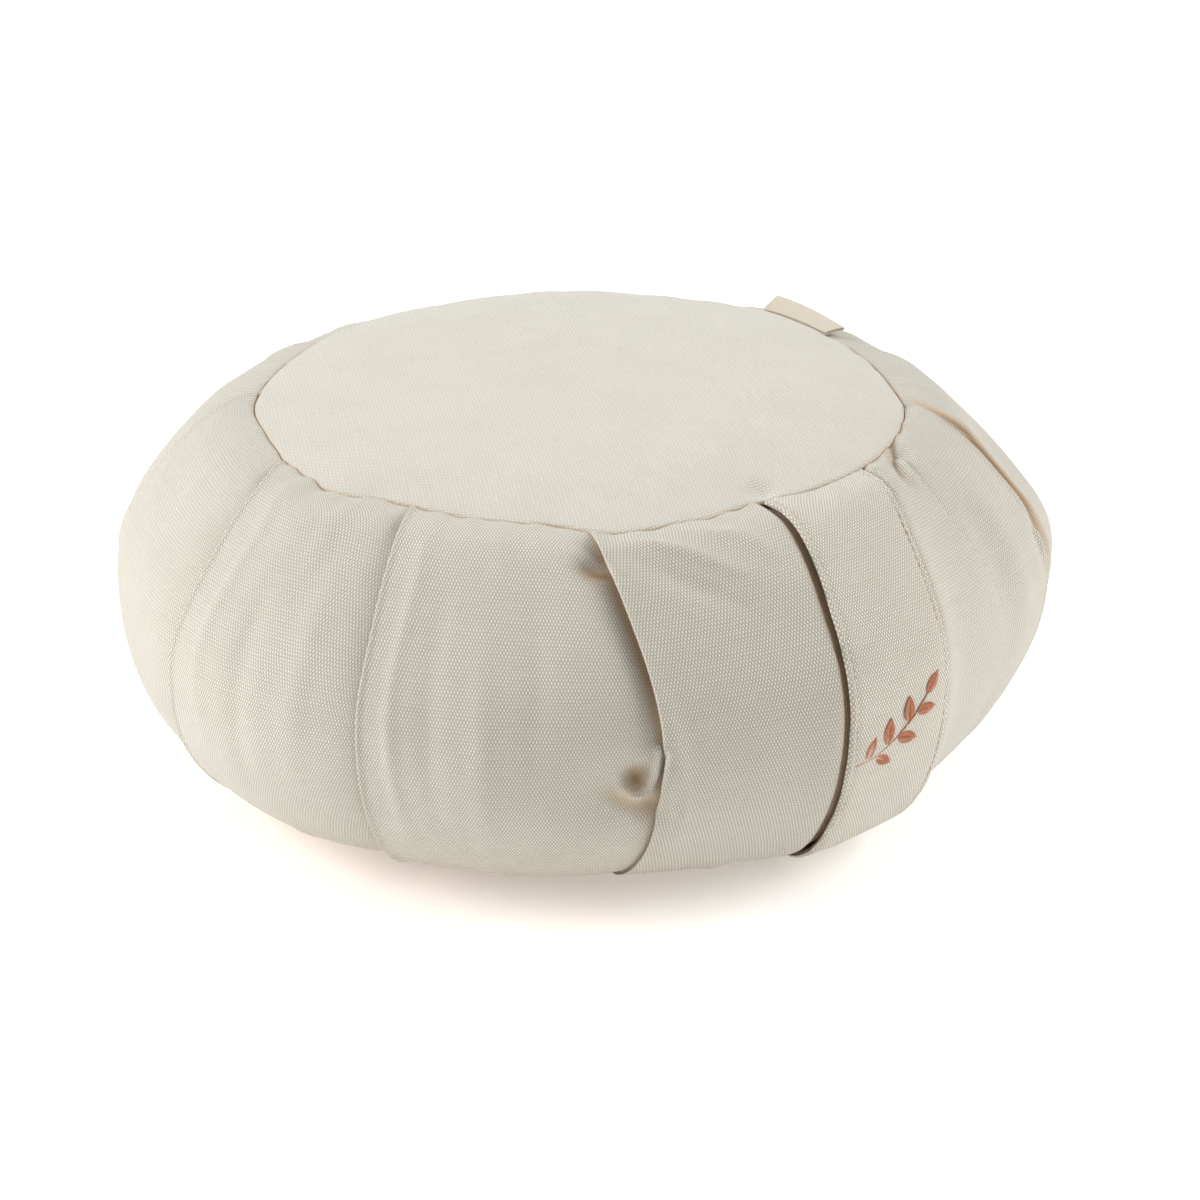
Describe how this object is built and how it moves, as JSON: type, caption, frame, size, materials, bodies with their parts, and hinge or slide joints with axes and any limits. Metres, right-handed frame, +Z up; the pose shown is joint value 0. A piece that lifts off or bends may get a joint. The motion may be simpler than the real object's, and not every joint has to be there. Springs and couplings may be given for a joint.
{
  "type": "zafu meditation cushion",
  "caption": "Round filled floor cushion for sitting, in natural cotton canvas, with a knife-pleated side wall, round top and bottom panels, a carry handle and a small ribbon label.",
  "frame": {"origin": "centre of the bottom panel's flat face, where the cushion rests on the floor", "axes": "+Z up; the carry handle runs down the side that faces -Y; the ribbon label is at the +X side of the top seam"},
  "size_m": [0.3376, 0.3329, 0.1383],
  "materials": {
    "side_canvas": "unbleached plain-weave cotton canvas, matte",
    "panel_canvas": "unbleached plain-weave cotton canvas, matte",
    "handle_canvas": "doubled cotton canvas band, matte",
    "label_ribbon": "folded woven cotton ribbon"
  },
  "bodies": {
    "root": {"pleated_cushion": "side_canvas", "top_panel": "panel_canvas", "bottom_panel": "panel_canvas", "carry_handle": "handle_canvas", "seam_label": "label_ribbon"}
  },
  "joints": []
}
